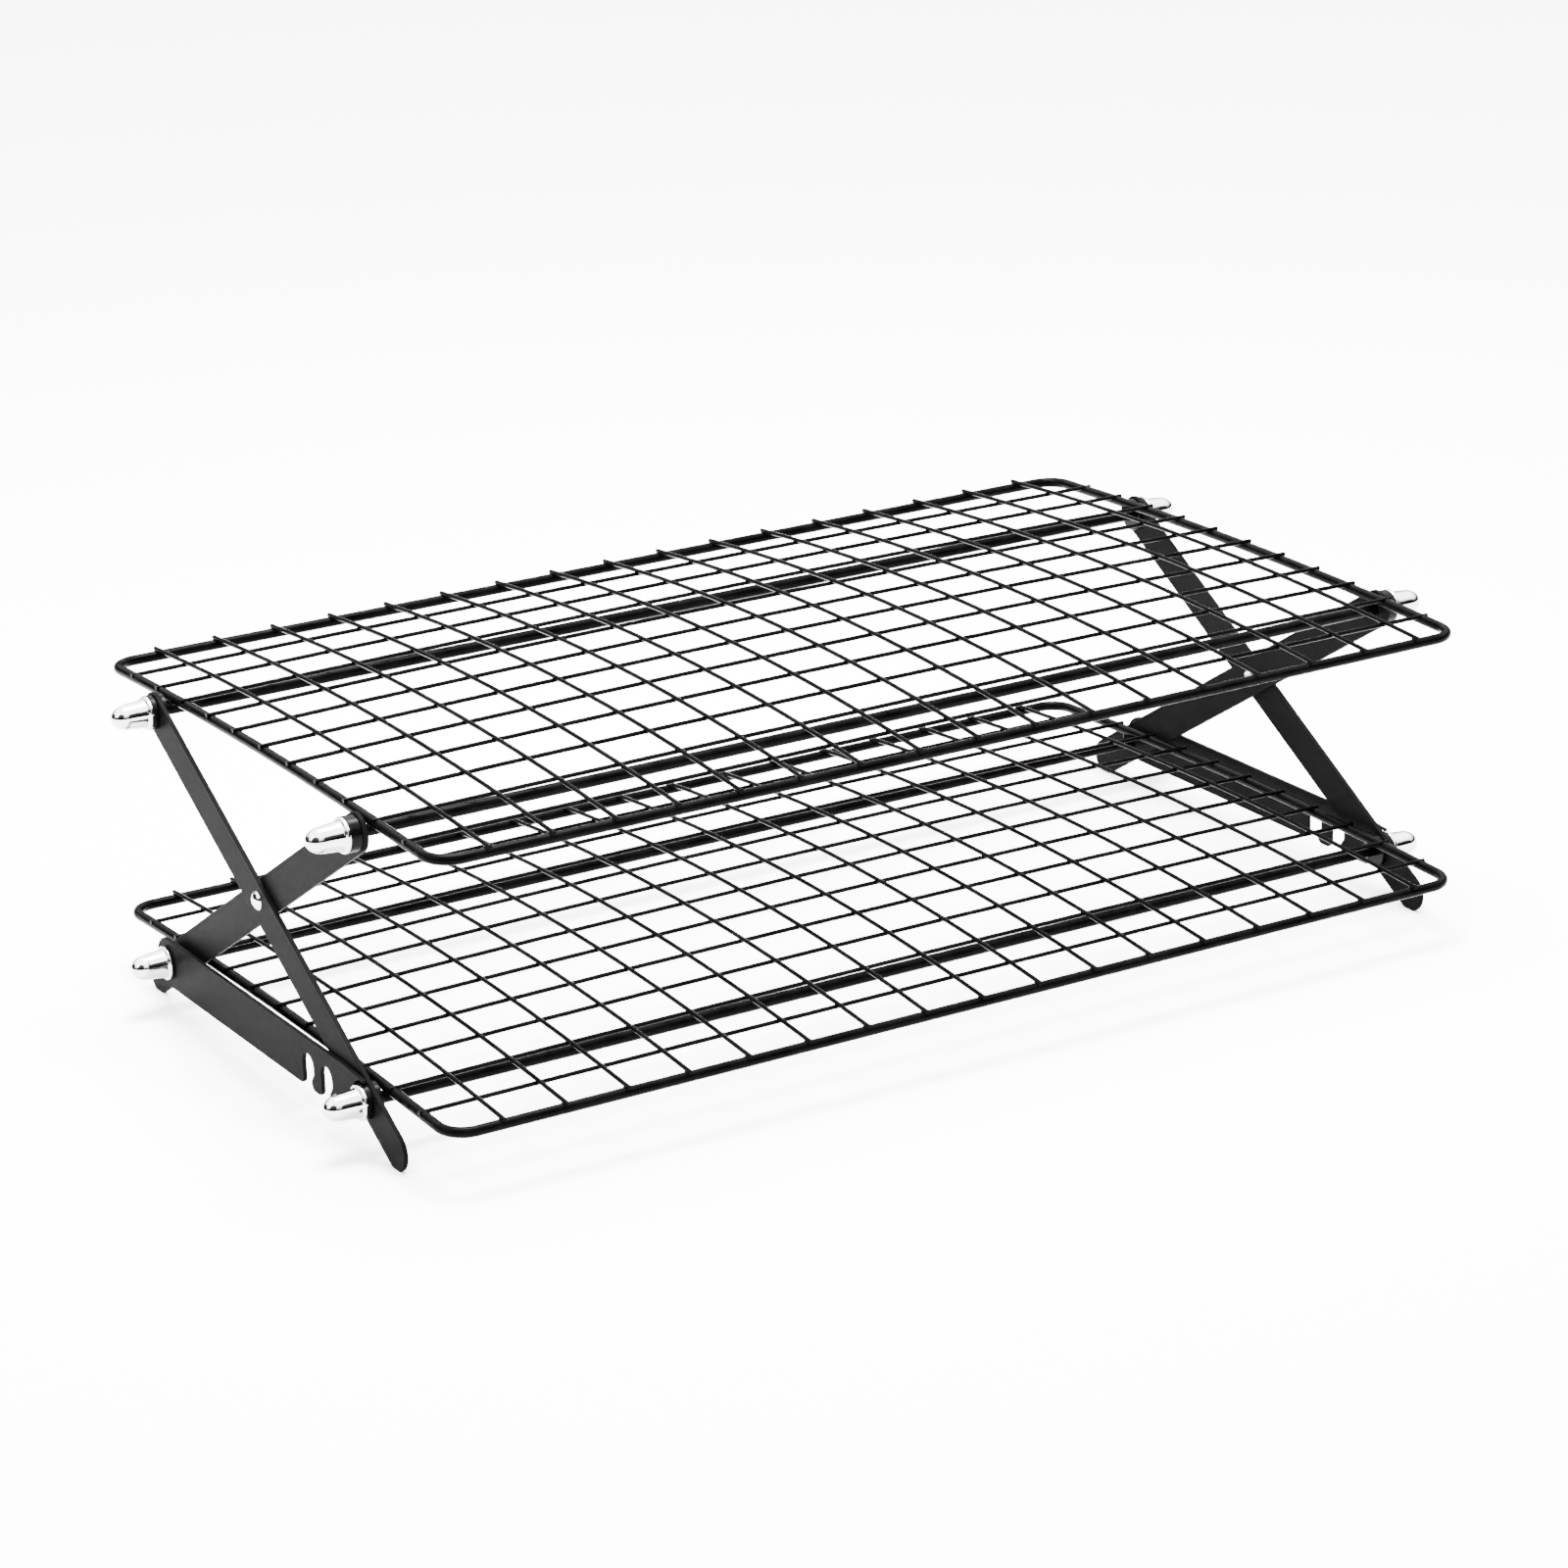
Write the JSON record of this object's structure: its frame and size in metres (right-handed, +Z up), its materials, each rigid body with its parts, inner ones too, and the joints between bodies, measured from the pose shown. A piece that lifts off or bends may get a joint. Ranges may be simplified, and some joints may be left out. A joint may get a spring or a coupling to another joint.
{
  "type": "cooling rack",
  "caption": "Two-tier folding wire cooling rack: arched mesh shelves on crossed side legs, with notched height bars and dome nuts.",
  "frame": {"origin": "on the table under the middle of the rack", "axes": "+X along the rack, +Y from its front to its back, +Z up"},
  "size_m": [0.487, 0.282, 0.1343],
  "materials": {
    "coated_wire": "gloss black coating on round wire",
    "coated_plate": "satin black coating on flat bar",
    "chrome": "polished",
    "black_plastic": "gloss black"
  },
  "bodies": {
    "lower_shelf": {"lower_frame_wire": "coated_wire", "lower_cross_wires": "coated_wire", "lower_long_wires": "coated_wire", "lower_rod_welds": "coated_wire", "lower_rear_rod": "coated_wire", "lower_rear_nuts": "chrome", "lower_rear_spacers": "black_plastic"},
    "inner_legs": {"left_inner_leg": "coated_plate", "right_inner_leg": "coated_plate", "left_pivot_rivet": "chrome", "right_pivot_rivet": "chrome", "upper_front_rod": "coated_wire", "upper_front_nuts": "chrome", "upper_front_spacers": "black_plastic"},
    "outer_legs": {"left_outer_leg": "coated_plate", "right_outer_leg": "coated_plate", "lower_front_rod": "coated_wire", "lower_front_nuts": "chrome", "lower_front_spacers": "black_plastic"},
    "upper_shelf": {"upper_frame_wire": "coated_wire", "upper_cross_wires": "coated_wire", "upper_long_wires": "coated_wire", "upper_rod_welds": "coated_wire", "upper_rear_rod": "coated_wire", "upper_rear_nuts": "chrome", "upper_rear_spacers": "black_plastic"},
    "left_bar": {"left_height_bar": "coated_plate"},
    "right_bar": {"right_height_bar": "coated_plate"}
  },
  "joints": [
    {"name": "fold", "type": "hinge", "parent": "lower_shelf", "child": "inner_legs", "pos_m": [0, 0.0845, 0.0193], "axis": [-1, 0, 0], "range_deg": [-22.4, 0]},
    {"name": "scissor", "type": "hinge", "parent": "inner_legs", "child": "outer_legs", "pos_m": [0, 0, 0.0699], "axis": [-1, 0, 0], "range_deg": [0, 44.8]},
    {"name": "upper_level", "type": "hinge", "parent": "outer_legs", "child": "upper_shelf", "pos_m": [0, 0.0845, 0.1205], "axis": [-1, 0, 0], "range_deg": [-22.4, 0]},
    {"name": "left_bar_lift", "type": "hinge", "parent": "lower_shelf", "child": "left_bar", "pos_m": [-0.2274, 0.0845, 0.0193], "axis": [-1, 0, 0], "range_deg": [0, 22]},
    {"name": "right_bar_lift", "type": "hinge", "parent": "lower_shelf", "child": "right_bar", "pos_m": [0.2274, 0.0845, 0.0193], "axis": [-1, 0, 0], "range_deg": [0, 22]}
  ],
  "couplings": [
    {"joint": "scissor", "follows": "fold", "ratio": -2},
    {"joint": "upper_level", "follows": "fold", "ratio": 1}
  ]
}
